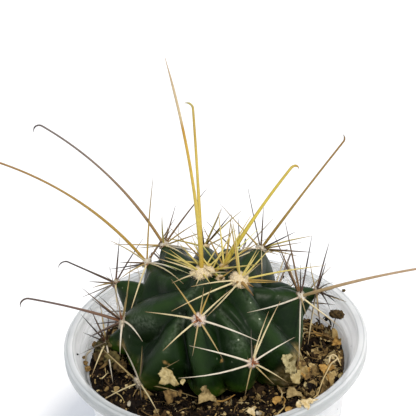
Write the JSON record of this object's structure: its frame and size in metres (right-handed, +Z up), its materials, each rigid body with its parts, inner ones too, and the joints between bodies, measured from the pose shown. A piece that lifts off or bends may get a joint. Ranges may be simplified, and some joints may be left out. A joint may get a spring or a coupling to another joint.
{
  "type": "potted cactus",
  "caption": "Small ribbed globe cactus with long hooked spines, standing in dark soil in a thin round plastic nursery pot.",
  "frame": {"origin": "centre of the pot's underside", "axes": "+Z up out of the pot; -Y towards the front"},
  "size_m": [0.1055, 0.07, 0.1268],
  "materials": {
    "pot": "milky, thin, slightly see-through plastic",
    "soil": "coarse dark brown peat",
    "cactus": "dark green satin skin with pale wool and cream to brown spines"
  },
  "bodies": {
    "root": {"pot": "pot", "soil": "soil", "cactus": "cactus"}
  },
  "joints": []
}
